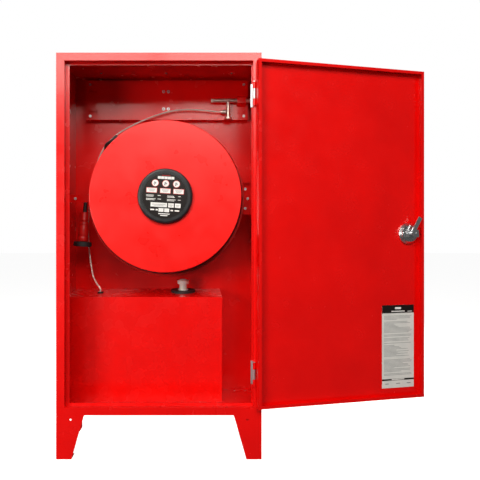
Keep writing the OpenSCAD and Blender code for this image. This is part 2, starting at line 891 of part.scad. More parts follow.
module nozzle_bumper() {
    color("dimgray")
        on_nozzle(neck_len + collar_len + grip_len + bumper_len)
            difference() {
                union() {
                    cylinder(h = bumper_len, r = bumper_r - 2);
                    translate([0, 0, 3]) cylinder(h = bumper_len - 6, r = bumper_r);
                }
                translate([0, 0, -1]) cylinder(h = bumper_len + 2, r = 9);
                translate([0, 0, -1]) cylinder(h = 7, r = 20);
            }
}

// Door

module door_pan() {
    color("red")
        on_door()
            difference() {
                block([door_x0, front_y, door_z0], [door_x1, door_y1, door_z1]);
                block(
                    [door_x0 + door_t, front_y + door_t, door_z0 + door_t],
                    [door_x1 - door_t, door_y1 - door_t, door_z1 - door_t]
                );
                block(
                    [door_x0 + door_lip, door_y1 - door_t - 1, door_z0 + door_lip],
                    [door_x1 - door_lip, door_y1 + 1, door_z1 - door_lip]
                );
                rod_y(latch_x, latch_z, front_y - 1, front_y + door_t + 1, dish_r + 0.2);
            }
}

// The leaf on the frame: it lines the rebate, turns onto the stop and has the middle knuckle
module frame_leaf(z)
    difference() {
        union() {
            block([open_x - leaf_t, pin_y, z - knuckle_h / 2], [open_x, stop_y, z + knuckle_h / 2]);
            block([open_x - leaf_t, front_y, z - leaf_h / 2], [open_x, stop_y, z + leaf_h / 2]);
            block([open_x - 7, stop_y - leaf_t, z - leaf_h / 2], [open_x, stop_y, z + leaf_h / 2]);
            translate([pin_x, pin_y, z - knuckle_h / 2]) cylinder(h = knuckle_h, r = knuckle_r);
        }
        translate([pin_x, pin_y, z - leaf_h]) cylinder(h = 2 * leaf_h, r = pin_r + fit);
    }

// The leaf on the door: it lies on the pan's edge and has the two outer knuckles
module door_leaf(z)
    difference() {
        union() {
            block([door_x1, front_y, z - leaf_h / 2], [door_x1 + leaf_t, door_y1 - 2, z + leaf_h / 2]);
            for (s = [-1, 1])
                translate([0, 0, s * (leaf_h / 2 + knuckle_h / 2 + knuckle_gap) / 2])
                    union() {
                        tall = leaf_h / 2 - knuckle_h / 2 - knuckle_gap;
                        block(
                            [door_x1, pin_y - knuckle_r, z - tall / 2],
                            [door_x1 + leaf_t, front_y + 1, z + tall / 2]
                        );
                        block(
                            [door_x1, pin_y - knuckle_r, z - tall / 2],
                            [pin_x, pin_y - knuckle_r + leaf_t, z + tall / 2]
                        );
                        translate([pin_x, pin_y, z - tall / 2]) cylinder(h = tall, r = knuckle_r);
                    }
        }
        translate([pin_x, pin_y, z - leaf_h]) cylinder(h = 2 * leaf_h, r = pin_r + fit);
    }

module hinge_frame_leaves() {
    color("silver") for (z = hinge_z) frame_leaf(z);
}

module hinge_door_leaves() {
    color("firebrick") on_door() for (z = hinge_z) door_leaf(z);
}

module hinge_pins() {
    color("silver")
        for (z = hinge_z)
            translate([pin_x, pin_y, z - leaf_h / 2])
                union() {
                    cylinder(h = leaf_h + 1, r = pin_r);
                    translate([0, 0, leaf_h + seat]) cylinder(h = 2.5, r = 4.2);
                }
}

// The round dish is a shell: its flange lies on the outside of the door
module latch_dish() {
    color("silver")
        on_door()
            turned_y(latch_x, latch_z)
                polygon([
                    [spindle_r + fit, front_y + door_t + dish_d - dish_t],
                    [dish_r - 9, front_y + door_t + dish_d - dish_t],
                    [dish_r - dish_t, front_y + door_t + 6],
                    [dish_r - dish_t, front_y - 0.5],
                    [dish_r + 4, front_y - 1.6],
                    [dish_r + 5, front_y - 0.8],
                    [dish_r + 5, front_y],
                    [dish_r, front_y],
                    [dish_r, front_y + door_t + 6],
                    [dish_r - 8, front_y + door_t + dish_d],
                    [spindle_r + fit, front_y + door_t + dish_d]
                ]);
}

module latch_bridge() {
    color("silver")
        on_door()
            difference() {
                block(
                    [latch_x - dish_r + 4, bridge_y, latch_z - bridge_w / 2],
                    [latch_x + dish_r - 4, bridge_y + bridge_t, latch_z + bridge_w / 2]
                );
                rod_y(latch_x, latch_z, bridge_y - 1, bridge_y + bridge_t + 1, spindle_r + fit);
            }
}

module latch_screws() {
    color("silver")
        on_door()
            for (s = [-1, 1])
                rod_y(latch_x + s * latch_screw_x, latch_z, bridge_y + bridge_t, bridge_y + bridge_t + 3, 5);
}

module latch_spindle() {
    color("silver")
        on_cam()
            union() {
                rod_y(0, 0, front_y + 6, cam_y + cam_t + 4, spindle_r);
                rod_y(0, 0, cam_y + cam_t, cam_y + cam_t + 6, 8);
            }
}

module latch_cam() {
    color("lightgray")
        on_cam()
            difference() {
                union() {
                    rod_y(0, 0, cam_y, cam_y + cam_t, 9);
                    block([-cam_w / 2, cam_y, 0], [cam_w / 2, cam_y + cam_t, cam_len]);
                }
                rod_y(0, 0, cam_y - 1, cam_y + cam_t + 1, spindle_r + fit);
            }
}

// The turn bar lies in the dish and is the length of the recess
module latch_handle() {
    color("silver")
        on_cam()
            difference() {
                union() {
                    rod_y(0, 0, front_y - 1, front_y + 12, 11);
                    block([-6, front_y - 1, -27], [6, front_y + 5, 27]);
                }
                rod_y(0, 0, front_y + 6 - fit, front_y + 13, spindle_r + fit);
            }
}

module door_label() {
    color("white")
        on_door()
            block(
                [door_x0 + label_inset, front_y + door_t, label_z0],
                [door_x0 + label_inset + label_w, front_y + door_t + label_t, label_z0 + label_h]
            );
}

body_wrap();
floor_pan();
back_panel();
front_frame();
left_front_leg();
right_front_leg();
left_rear_leg();
right_rear_leg();
leg_bolts();
side_rivets();
ceiling_screws();
back_rail();
rail_screws();
rail_rivets();
pipe_clamp();
clamp_pad();
inlet_pipe();
pipe_plug();
inlet_grommet();
tee_leg();
tube_nut();
suction_tube();
tube_grommet();
dip_tube();
foam_tank();
tank_gasket();
tank_cap();
reel_bar();
right_bracket();
left_bracket();
bracket_bolts();
axle_plate();
axle_tube();
axle_nut();
retaining_ring();
swivel_elbow();
front_bush();
rear_bush();
drum();
front_disc();
rear_disc();
hub_cap();
hub_label();
hose_pack();
nozzle_clip();
nozzle_neck();
nozzle_whip();
nozzle_body();
nozzle_bumper();
door_pan();
hinge_frame_leaves();
hinge_door_leaves();
hinge_pins();
latch_dish();
latch_bridge();
latch_screws();
latch_spindle();
latch_cam();
latch_handle();
door_label();
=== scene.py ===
# %% [markdown]
# # A hose reel cabinet with a foam tank
# The cabinet is a box of red powder-coated sheet on four folded legs. Inside hang a reel of
# hose, a nozzle in its clip and a foam tank with the pipework above it. The door stands open.
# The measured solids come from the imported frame. This script gives them their finishes, and
# makes the pieces that need more than a plain solid: the clear tube, the hoses and the prints.

# %% The frame
import math
import random

import bmesh
import bpy
from mathutils import Matrix, Vector


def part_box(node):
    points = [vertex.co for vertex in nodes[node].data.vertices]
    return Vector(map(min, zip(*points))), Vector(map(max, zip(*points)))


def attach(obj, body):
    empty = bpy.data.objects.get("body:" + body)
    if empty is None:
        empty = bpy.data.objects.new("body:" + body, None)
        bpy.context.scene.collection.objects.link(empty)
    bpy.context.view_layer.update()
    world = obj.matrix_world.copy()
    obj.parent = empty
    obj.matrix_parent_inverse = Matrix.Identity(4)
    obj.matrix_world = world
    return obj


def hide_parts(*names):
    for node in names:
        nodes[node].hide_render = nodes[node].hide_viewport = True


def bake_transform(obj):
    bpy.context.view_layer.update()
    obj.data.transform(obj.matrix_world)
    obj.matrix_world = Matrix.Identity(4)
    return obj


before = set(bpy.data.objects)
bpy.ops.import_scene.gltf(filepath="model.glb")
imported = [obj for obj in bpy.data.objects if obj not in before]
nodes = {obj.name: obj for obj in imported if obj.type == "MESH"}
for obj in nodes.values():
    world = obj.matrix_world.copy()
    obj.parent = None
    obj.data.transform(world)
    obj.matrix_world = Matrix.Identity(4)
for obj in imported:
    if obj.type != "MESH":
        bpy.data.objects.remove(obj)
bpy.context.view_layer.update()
scene = bpy.context.scene

# %% [markdown]
# ## The camera
# A cabinet like this is shown from straight ahead, at half its height, from about two metres,
# so that the open door stands beside it and the viewer looks a little into the body. The
# camera looks along +Y and is level, so upright edges stay upright. The frame reaches further
# to the right, where the door stands, so the lens is shifted and not turned.

# %% The camera
camera_data = bpy.data.cameras.new("camera")
camera_data.lens = 43.3
camera_data.sensor_width = 36
camera_data.shift_x = 0.106
camera_data.shift_y = -0.001
camera = bpy.data.objects.new("camera", camera_data)
camera.location = (0.103, -2.135, 0.7486)
camera.rotation_euler = (math.radians(90), 0, 0)
scene.collection.objects.link(camera)
scene.camera = camera
print("camera", tuple(round(v, 3) for v in camera.location))

# %% [markdown]
# ## One way to name a colour
# Paint and plastic colours are given as sRGB hex values, as on a colour card. Blender's
# shaders want linear light, so one function turns a hex value into that.

# %% Colours
def linear(hex_colour):
    """The linear colour of an sRGB hex value such as '#E3120F'."""
    made = []
    for k in (1, 3, 5):
        c = int(hex_colour[k:k + 2], 16) / 255
        made.append(c / 12.92 if c <= 0.04045 else ((c + 0.055) / 1.055) ** 2.4)
    return (*made, 1.0)


print("signal red", [round(c, 3) for c in linear("#E3120F")])

# %% [markdown]
# ## Adding a node
# Every finish is a small tree of nodes. One function adds any node with its settings and what
# goes into its sockets: a value, or another node's output.

# %% A node and a finish
def add(tree, kind, inputs=None, **settings):
    """A new node of that kind, with its settings and its inputs."""
    made = tree.nodes.new(kind)
    for key, value in settings.items():
        setattr(made, key, value)
    for key, value in (inputs or {}).items():
        if isinstance(value, bpy.types.NodeSocket):
            tree.links.new(value, made.inputs[key])
        else:
            made.inputs[key].default_value = value
    return made


def finish_named(name, colour, roughness, **constants):
    """A material with a principled shader: its constants stand on the shader's own sockets."""
    made = bpy.data.materials.new(name)
    made.use_nodes = True
    tree = made.node_tree
    shader = tree.nodes["Principled BSDF"]
    shader.inputs["Base Color"].default_value = linear(colour)
    shader.inputs["Roughness"].default_value = roughness
    for key, value in constants.items():
        shader.inputs[key.replace("_", " ")].default_value = value
    place = add(tree, "ShaderNodeTexCoord").outputs["Object"]
    made.diffuse_color = linear(colour)
    return made, tree, shader, place


def grain(tree, place, size_mm, detail=2.0, stretch=(1, 1, 1), roughness=0.5):
    """Noise whose spots are about size_mm across; stretch lengthens them along an axis."""
    scale = [1000 / size_mm / s for s in stretch]
    mapped = add(tree, "ShaderNodeMapping", {"Vector": place, "Scale": scale}).outputs["Vector"]
    return add(tree, "ShaderNodeTexNoise", {
        "Vector": mapped, "Scale": 1.0, "Detail": detail, "Roughness": roughness,
    }).outputs["Fac"]


def between(tree, share, low, high, bottom=0.3, top=0.7):
    """Numbers from low to high, as share goes from bottom to top."""
    return add(tree, "ShaderNodeMapRange", {
        "Value": share, "From Min": bottom, "From Max": top, "To Min": low, "To Max": high,
    }).outputs["Result"]


def relief(tree, shader, height, depth_mm, strength=1.0, over=None):
    """Gives the surface that height as a bump, depth_mm deep."""
    given = {"Height": height, "Distance": depth_mm / 1000, "Strength": strength}
    if over is not None:
        given["Normal"] = over
    bump = add(tree, "ShaderNodeBump", given).outputs["Normal"]
    tree.links.new(bump, shader.inputs["Normal"])
    return bump


print("helpers ready")

# %% [markdown]
# ## Red powder coat
# The body, the door, the reel and the tank are steel sheet with a glossy polyester powder
# coat. The powder melts and levels in an oven and leaves a faint waviness, called orange peel,
# some 3 mm from crest to crest. It gives the eye a deep red with soft reflections. The colour
# wanders a little over a hand's width, and handling leaves the gloss uneven.
# A mix node names its sockets alike for numbers and for colours, so two_tone takes the colour
# ones by their place in the list.

# %% Two tones
def two_tone(tree, share, first, second):
    """A colour between two hex colours, by share."""
    mix = add(tree, "ShaderNodeMix", {0: share}, data_type="RGBA")
    mix.inputs[6].default_value = linear(first)
    mix.inputs[7].default_value = linear(second)
    return mix.outputs[2]


# %% Red powder coat
def powder_coat(name, first, second, gloss=0.24):
    """Polyester powder coat on sheet steel, in two near reds."""
    made, tree, shader, place = finish_named(
        name, first, gloss, Coat_Weight=0.2, Coat_Roughness=0.08, IOR=1.5)
    wide = grain(tree, place, 140, 3)
    tree.links.new(two_tone(tree, between(tree, wide, 0, 1), first, second),
                   shader.inputs["Base Color"])
    handled = grain(tree, place, 60, 2)
    tree.links.new(between(tree, handled, gloss - 0.03, gloss + 0.04), shader.inputs["Roughness"])
    relief(tree, shader, grain(tree, place, 3.2, 1), 0.05, 0.3)
    return made


red_coat = powder_coat("red_powder_coat", "#E80603", "#DC0402")
reel_coat = powder_coat("red_reel_coat", "#F00E07", "#E80B05", 0.3)
tank_coat = powder_coat("red_tank_coat", "#E60603", "#DC0402", 0.26)
print("powder coats", red_coat.name, reel_coat.name, tank_coat.name)

# %% [markdown]
# ## Plated steel, nickel and brass
# Hinges, screws and rivets are bright zinc plated: pale, slightly blue, with a faint cloudy
# grain where the crystals differ. The pipe is nickel-plated brass and warmer. The latch dish is
# pressed and chromed, and its bright hollow is a little hazy from use. The turn bar in it is a
# lacquered zinc casting, so it is only partly a mirror. A metal's colour is its reflection, and
# it keeps the default IOR.

# %% Metals
def plated(name, first, second, roughness, cloud_mm, scratch_mm, depth_mm, stretch=(1, 1, 1),
           metallic=1.0):
    """A plated or polished metal with clouds in its colour and fine scratches in its gloss."""
    made, tree, shader, place = finish_named(name, first, roughness, Metallic=metallic)
    cloud = grain(tree, place, cloud_mm, 3)
    tree.links.new(two_tone(tree, between(tree, cloud, 0, 1), first, second),
                   shader.inputs["Base Color"])
    scratch = grain(tree, place, scratch_mm, 3, stretch)
    tree.links.new(between(tree, scratch, roughness * 0.7, roughness * 1.4),
                   shader.inputs["Roughness"])
    relief(tree, shader, scratch, depth_mm, 0.3)
    return made


zinc = plated("bright_zinc_plate", "#E2E5E7", "#CBD0D5", 0.36, 5, 0.9, 0.02)
nickel = plated("nickel_plate", "#EAE6DD", "#D9D2C5", 0.38, 18, 1.2, 0.01, (8, 1, 1))
chrome = plated("hazy_chrome", "#F0F2F3", "#DFE2E4", 0.24, 20, 1.5, 0.005)
brass = plated("turned_brass", "#B98D3E", "#A67A31", 0.22, 10, 0.8, 0.02)
cast_grey = plated("satin_zinc_casting", "#C4C9C8", "#AEB4B4", 0.5, 9, 0.7, 0.03, metallic=0.35)
print("metals", zinc.name, nickel.name, chrome.name, brass.name, cast_grey.name)

# %% [markdown]
# ## Rubber and plastics
# Rubber is matt and a little dusty, with a fine grain from its mould. The nozzle is moulded red
# polypropylene, the tank cap white polyethylene and the hub cap black ABS with a spark-eroded
# texture of about half a millimetre, which is drawn a little coarser so that it shows.

# %% Rubber and plastics
def moulded(name, first, second, roughness, texture_mm, depth_mm, ior=1.5, **constants):
    """A moulded plastic or rubber: cloudy colour and a fine texture from the mould."""
    made, tree, shader, place = finish_named(name, first, roughness, IOR=ior, **constants)
    cloud = grain(tree, place, 22, 4)
    tree.links.new(two_tone(tree, between(tree, cloud, 0, 1), first, second),
                   shader.inputs["Base Color"])
    worn = grain(tree, place, 12, 4)
    tree.links.new(between(tree, worn, roughness - 0.06, roughness + 0.08),
                   shader.inputs["Roughness"])
    relief(tree, shader, grain(tree, place, texture_mm, 3), depth_mm, 0.5)
    return made


rubber = moulded("black_rubber", "#17181A", "#232426", 0.58, 1.2, 0.12, 1.52)
black_abs = moulded("black_abs", "#101215", "#1A1D21", 0.36, 0.9, 0.05, 1.53)
red_pp = moulded("red_polypropylene", "#D3140F", "#C00F0C", 0.36, 0.8, 0.03, 1.49)
white_pe = moulded("white_polyethylene", "#ECEAE4", "#DEDBD3", 0.34, 1.0, 0.03, 1.51,
                   Subsurface_Weight=0.15)
print("plastics", rubber.name, black_abs.name, red_pp.name, white_pe.name)

# %% [markdown]
# ## Clear tube
# The foam is drawn up through a soft clear PVC tube. Its wall is thin, slightly milky and
# faintly yellow, so it reads as a pale line with bright edges against the red. It is part
# transmitting and part scattering.

# %% Clear tube
clear_pvc, tube_tree, tube_shader, tube_place = finish_named(
    "clear_pvc", "#F3EEE6", 0.14, IOR=1.53, Transmission_Weight=0.55)
tube_wave = grain(tube_tree, tube_place, 9, 2)
tube_tree.links.new(between(tube_tree, tube_wave, 0.1, 0.2), tube_shader.inputs["Roughness"])
relief(tube_tree, tube_shader, tube_wave, 0.2, 0.3)
print("tube", clear_pvc.name)

# %% [markdown]
# ## Printed film and ink
# The plate on the hub is a black laminated film with white print; the sheet on the door is
# white paper laminated in a satin film. Ink lies on them as very thin layers.

# %% Film and ink
def printed(name, first, second, roughness):
    """Laminated paper or a layer of ink."""
    made, tree, shader, place = finish_named(name, first, roughness, IOR=1.46)
    cloud = grain(tree, place, 30, 3)
    tree.links.new(two_tone(tree, between(tree, cloud, 0, 1), first, second),
                   shader.inputs["Base Color"])
    relief(tree, shader, grain(tree, place, 2.5, 2), 0.03, 0.3)
    return made


black_film = printed("black_laminate", "#14100F", "#1E1817", 0.3)
white_film = printed("white_laminate", "#DCDDDA", "#D2D4D2", 0.36)
white_ink = printed("white_ink", "#E9E9E7", "#DCDDDC", 0.4)
grey_ink = printed("grey_ink", "#8E9294", "#7F8385", 0.45)
red_ink = printed("red_ink", "#C8201B", "#B41A17", 0.4)
print("prints", black_film.name, white_film.name)

# %% [markdown]
# ## The clear tube from the tank to the pipework
# The tube leaves the nut under the tee, runs left above the reel in one easy curve, comes down
# behind the nozzle and goes into the grommet in the tank's top. It is stiff enough to carry its
# own curve. A curve object with a round bevel is the direct way to make it, because a tube of
# one thickness needs nothing else. The points are those of its solid.

# %% The clear tube
TUBE = [
    (225.7, 122.5, 1247), (200, 121, 1249), (170, 120, 1252), (135, 120, 1255), (100, 120, 1256),
    (70, 120, 1255), (44, 120, 1252), (13, 120, 1245), (-18, 120, 1236), (-46, 120, 1226),
    (-73, 120, 1215), (-101, 120, 1203), (-128, 120, 1189), (-152, 120, 1176), (-175, 120, 1161),
    (-197, 120, 1143), (-214, 120, 1126), (-229, 120, 1107), (-245, 120, 1075), (-258, 120, 1040),
    (-268, 120, 1003), (-276, 120, 965), (-282, 120, 925), (-286, 120, 885), (-289, 119, 845),
    (-290, 117, 805), (-289, 114, 765), (-287, 110, 725), (-282, 105, 685), (-275, 98, 645),
    (-266, 90, 605), (-257, 83.5, 589), (-247.5, 77, 575.5), (-239.5, 72, 566.5),
    (-236, 70.63, 558.86), (-236, 71.54, 548.9),
]
WHIP = [
    (-257.2, 43, 911.83), (-246.3, 43, 910.99), (-234, 43, 913.5), (-222, 43, 921.5),
    (-213, 43, 932), (-206, 43, 945), (-202, 43, 960), (-199, 43, 976), (-197, 43, 993),
    (-196, 43, 1010), (-196, 43, 1028), (-196, 43, 1046), (-200.6, 41, 1063.8),
    (-206.6, 37, 1077.5), (-208.9, 29.5, 1089), (-207.3, 19.5, 1097.8), (-200.6, 8, 1103.8),
    (-190.6, -3, 1107), (-180.8, -12, 1111.5), (-170.6, -19, 1118.9), (-160.9, -23, 1126.9),
]


def metres(route):
    """A route in millimetres as points in metres."""
    return [Vector(p) / 1000 for p in route]


def run_of(points):
    """The length of a route."""
    return sum((b - a).length for a, b in zip(points, points[1:]))


def tube_curve(name, points, radius, sides=6):
    """A round tube along a route, as a curve of one open spline with closed ends."""
    data = bpy.data.curves.new(name, "CURVE")
    data.dimensions = "3D"
    data.bevel_depth = radius
    data.bevel_resolution = sides
    data.use_fill_caps = True
    spline = data.splines.new("POLY")
    spline.points.add(len(points) - 1)
    for made, p in zip(spline.points, points):
        made.co = (*p, 1)
    made = bpy.data.objects.new(name, data)
    scene.collection.objects.link(made)
    return made


def eased(points, steps=4):
    """The same route with smooth points between the given ones (a Catmull-Rom spline)."""
    full = [points[0] * 2 - points[1], *points, points[-1] * 2 - points[-2]]
    made = []
    for a, b, c, d in zip(full, full[1:], full[2:], full[3:]):
        for k in range(steps):
            t = k / steps
            made.append(0.5 * (2 * b + (c - a) * t + (2 * a - 5 * b + 4 * c - d) * t * t
                               + (3 * b - a - 3 * c + d) * t ** 3))
    return made + [points[-1]]


tube_points = eased(metres(TUBE))
clear_tube = tube_curve("clear_foam_tube", tube_points, 0.003)
clear_tube.data.materials.append(clear_pvc)
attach(clear_tube, "cabinet")
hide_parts("suction_tube")
print("clear tube", round(run_of(tube_points), 3), "m")

# %% [markdown]
# ## The short hose between the nozzle and the wound hose
# A thin hose joins the nozzle's elbow to the end of the wound hose, round the back disc. The
# nozzle can be pulled down out of its clip, so the hose has to bend with it. Here it is a mesh
# tube of one fixed shape, tied to neither body, and it takes its bend near the nozzle.

# %% The short hose
def as_mesh(curve, name):
    """A curve object turned into a mesh object of that name."""
    bpy.context.view_layer.update()
    shape = curve.evaluated_get(bpy.context.evaluated_depsgraph_get())
    data = bpy.data.meshes.new_from_object(shape)
    data.name = name
    bpy.data.objects.remove(curve)
    made = bpy.data.objects.new(name, data)
    scene.collection.objects.link(made)
    bm = bmesh.new()
    bm.from_mesh(data)
    bmesh.ops.remove_doubles(bm, verts=bm.verts, dist=1e-6)
    bmesh.ops.recalc_face_normals(bm, faces=bm.faces)
    bm.to_mesh(data)
    bm.free()
    for face in data.polygons:
        face.use_smooth = len(face.vertices) == 4
    return made


whip_points = eased(metres(WHIP))
short_hose = as_mesh(tube_curve("short_hose_line", whip_points, 0.006), "short_hose")
short_hose.data.materials.clear()
short_hose.data.materials.append(rubber)
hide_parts("nozzle_whip")
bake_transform(short_hose)
print("short hose", round(run_of(whip_points), 3), "m")

# %% [markdown]
# ## The wound hose
# Twenty turns of 25 mm hose lie on the drum, in five layers of four, and two loose turns lie
# on top of them, a little higher than the front disc. Each turn stays in its own plane for most
# of the way round and steps over to the next at one place, as a hose does when it is wound by
# hand. At the end of a layer it climbs onto the next. One long tube along that line looks right
# from every side, and rings side by side wouldn't.

# %% The wound hose
HOSE_D = 0.025
LAYERS = [0.1545, 0.1762, 0.1978, 0.2195, 0.2410]
TURN_Y = [-0.0709, -0.0456, -0.0204, 0.0049]
TURN_POINTS = 48
STEP_SHARE = 0.18
STEP_ANGLE = math.radians(150)
drum_low, drum_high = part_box("drum")
axle = Vector(((drum_low.x + drum_high.x) / 2, 0, (drum_low.z + drum_high.z) / 2))
turns = []
for layer, radius in enumerate(LAYERS):
    turns += [(radius, y) for y in (TURN_Y if layer % 2 == 0 else TURN_Y[::-1])]
turns += [(0.2676, -0.0316), (0.2676, -0.0028)]
hose_line = []
for (radius, y), (next_r, next_y) in zip(turns, turns[1:] + turns[-1:]):
    for k in range(TURN_POINTS):
        step = max(0.0, (k / TURN_POINTS - 1 + STEP_SHARE) / STEP_SHARE)
        step = step * step * (3 - 2 * step)
        angle = STEP_ANGLE + 2 * math.pi * k / TURN_POINTS
        r = radius + (next_r - radius) * step
        hose_line.append(Vector((
            axle.x + r * math.cos(angle), y + (next_y - y) * step,
            axle.z + r * math.sin(angle))))
wound_hose = as_mesh(tube_curve("wound_hose_line", hose_line, HOSE_D / 2 - 0.0002, 2),
                     "wound_hose")
wound_hose.data.materials.clear()
wound_hose.data.materials.append(rubber)
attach(wound_hose, "reel")
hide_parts("hose_pack")
print("wound hose", round(run_of(hose_line), 2), "m,", len(wound_hose.data.polygons), "faces")

# %% [markdown]
# ## Prints
# The hub plate and the door sheet carry plain panels, rings and bars that stand for signs and
# lines of writing. Nothing on them can be read. Each shape is a thin plate, so that its edge
# catches the light as a printed film does, and all shapes of one ink are one mesh.

# %% Printed shapes
def bar(bm, centre, size, turn=0.0, depth=0.0002):
    """A thin plate on the sheet's own plane (x right, y up, z out of the sheet)."""
    made = bmesh.ops.create_cube(bm, size=1.0)["verts"]
    bmesh.ops.scale(bm, verts=made, vec=(size[0], size[1], depth))
    bmesh.ops.rotate(bm, verts=made, matrix=Matrix.Rotation(turn, 3, "Z"))
    bmesh.ops.translate(bm, verts=made, vec=(*centre, depth / 2))
    return made


def dot(bm, centre, radius, depth=0.0002, segments=40):
    """A thin round plate."""
    made = bmesh.ops.create_cone(bm, cap_ends=True, segments=segments, radius1=radius,
                                 radius2=radius, depth=depth)["verts"]
    bmesh.ops.translate(bm, verts=made, vec=(*centre, depth / 2))
    return made


def print_piece(name, bm, place, ink, body):
    """Turns the plates into a piece, laid where place says."""
    bmesh.ops.transform(bm, matrix=place, verts=bm.verts)
    data = bpy.data.meshes.new(name)
    bm.to_mesh(data)
    bm.free()
    data.materials.append(ink)
    made = bpy.data.objects.new(name, data)
    scene.collection.objects.link(made)
    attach(made, body)
    return made


print("print helpers ready")

# %% [markdown]
# ## The hub plate
# The plate is a black disc that fills the cap's rim. Three round signs and three panels lie
# across its middle, with rows of writing below and a row of boxes under them. The cap has been
# turned a few degrees on the axle, so the whole print is.

# %% The hub plate
label_low, label_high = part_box("hub_label")
hub = Vector(((label_low.x + label_high.x) / 2, label_low.y, (label_low.z + label_high.z) / 2))
hub_place = (Matrix.Translation(hub) @ Matrix.Rotation(math.radians(90), 4, "X")
             @ Matrix.Rotation(math.radians(-3.5), 4, "Z"))
MM = 0.001
signs = bmesh.new()
rims = bmesh.new()
marks = bmesh.new()
for x in (-37, 0, 38):
    dot(rims, (x * MM, 44 * MM), 12.6 * MM)
    dot(signs, (x * MM, 44 * MM), 11.2 * MM, 0.0003)
    bar(marks, (x * MM, 45 * MM), (9 * MM, 5 * MM), math.radians(-35), 0.0004)
    bar(marks, ((x - 3) * MM, 40 * MM), (4 * MM, 6 * MM), math.radians(20), 0.0004)
for x in (-48, 0, 47):
    bar(rims, (x * MM, 18 * MM), (38.5 * MM, 18.5 * MM))
    bar(signs, (x * MM, 18 * MM), (35.5 * MM, 15.5 * MM), 0, 0.0003)
    for row in range(3):
        bar(marks, (x * MM, (22 - row * 3.6) * MM), ((26 - row * 5) * MM, 1.4 * MM), 0, 0.0004)
lines = random.Random(4)
for row, y in enumerate((0.5, -3.5, -12, -16)):
    for x0, x1 in ((-66, -32), (8, 40)):
        length = (x1 - x0) * lines.uniform(0.72, 1.0)
        bar(signs, ((x0 + length / 2) * MM, y * MM), (length * MM, 2.0 * MM))
    for x0, x1 in ((-26, -12), (46, 60)):
        if row % 2 == 0:
            length = (x1 - x0) * lines.uniform(0.6, 1.0)
            bar(signs, ((x0 + length / 2) * MM, y * MM), (length * MM, 2.0 * MM))
bar(signs, (-20 * MM, -32 * MM), (58 * MM, 15 * MM), 0, 0.0003)
bar(signs, (23 * MM, -32 * MM), (20 * MM, 15 * MM), 0, 0.0003)
bar(signs, (47 * MM, -32 * MM), (20 * MM, 15 * MM), 0, 0.0003)
for x, w in ((-20, 48), (23, 12), (47, 13)):
    bar(marks, (x * MM, -31 * MM), (w * MM, 1.4 * MM), 0, 0.0004)
    bar(marks, (x * MM, -35 * MM), (w * 0.7 * MM, 1.2 * MM), 0, 0.0004)
for x in (-11, 9):
    bar(signs, (x * MM, -50 * MM), (17.5 * MM, 13 * MM), 0, 0.0003)
for x, w in ((-42, 14), (-26, 8), (27, 9), (45, 16)):
    bar(signs, (x * MM, -50 * MM), (w * MM, 5 * MM))
bar(signs, (0, -63 * MM), (40 * MM, 3.2 * MM))
bar(signs, (0, -69 * MM), (26 * MM, 3.2 * MM))
bar(signs, (0, 64 * MM), (58 * MM, 9 * MM))
for x in (-18, -6, 6, 18):
    bar(marks, (x * MM, 64 * MM), (1.4 * MM, 8 * MM), 0, 0.0004)
bar(rims, (0, 72 * MM), (30 * MM, 1.6 * MM))
print_piece("hub_print_white", signs, hub_place, white_ink, "reel")
print_piece("hub_print_red", rims, hub_place, red_ink, "reel")
print_piece("hub_print_grey", marks, hub_place, grey_ink, "reel")
print("hub plate at", tuple(round(v, 4) for v in hub))

# %% [markdown]
# ## The sheet on the door
# The instruction sheet is fixed to the inside of the door: a white sheet with a black band
# across its head, rows of grey writing, and a thin black band near its foot. It is drawn on the
# closed door and turned with it, because its solid stands where the open door does.

# %% The sheet on the door
pin_low, pin_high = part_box("hinge_pins")
pin = (pin_low + pin_high) / 2
DOOR_OPEN = math.radians(194.4)
door_turn = (Matrix.Translation((pin.x, pin.y, 0)) @ Matrix.Rotation(DOOR_OPEN, 4, "Z")
             @ Matrix.Translation((-pin.x, -pin.y, 0)))
SHEET_X, SHEET_Z, SHEET_W, SHEET_H = (-0.225, 0.3635, 0.130, 0.298)
DOOR_FRONT_Y, DOOR_STEEL, SHEET_THICK = (-0.170, 0.0012, 0.0004)
sheet_y = DOOR_FRONT_Y + DOOR_STEEL + SHEET_THICK
sheet_place = (door_turn @ Matrix.Translation((SHEET_X, sheet_y, SHEET_Z))
               @ Matrix.Rotation(math.radians(180), 4, "Z")
               @ Matrix.Rotation(math.radians(90), 4, "X"))
black_print = bmesh.new()
grey_print = bmesh.new()
white_print = bmesh.new()
bar(black_print, (0, 0.1345), (SHEET_W, 0.029))
bar(black_print, (0, -0.1195), (SHEET_W, 0.0062))
bar(white_print, (0, 0.1375), (0.024, 0.008), 0, 0.0004)
bar(white_print, (0, 0.1265), (0.054, 0.0034), 0, 0.0004)
bar(white_print, (0.048, 0.1255), (0.018, 0.0024), 0, 0.0004)
bar(white_print, (0, -0.1190), (0.052, 0.0036), 0, 0.0004)
writing = random.Random(11)
LINE_LENGTH, LINE_HEIGHT, LINE_STEP, GAP_STEP = (0.114, 0.0013, 0.0042, 0.0045)
y = 0.110
while y > -0.106:
    if writing.random() < 0.12:
        y -= GAP_STEP
        continue
    length = LINE_LENGTH * (writing.uniform(0.35, 0.7) if writing.random() < 0.22
                            else writing.uniform(0.84, 1.0))
    bar(grey_print, ((length - LINE_LENGTH) / 2, y), (length, LINE_HEIGHT))
    y -= LINE_STEP
for x, w in ((-0.045, 0.014), (0, 0.016), (0.044, 0.016)):
    bar(grey_print, (x, -0.134), (w, 0.003))
print_piece("door_print_black", black_print, sheet_place, black_film, "door")
print_piece("door_print_grey", grey_print, sheet_place, grey_ink, "door")
print_piece("door_print_white", white_print, sheet_place, white_ink, "door")
print("door sheet", SHEET_W, "x", SHEET_H, "m")

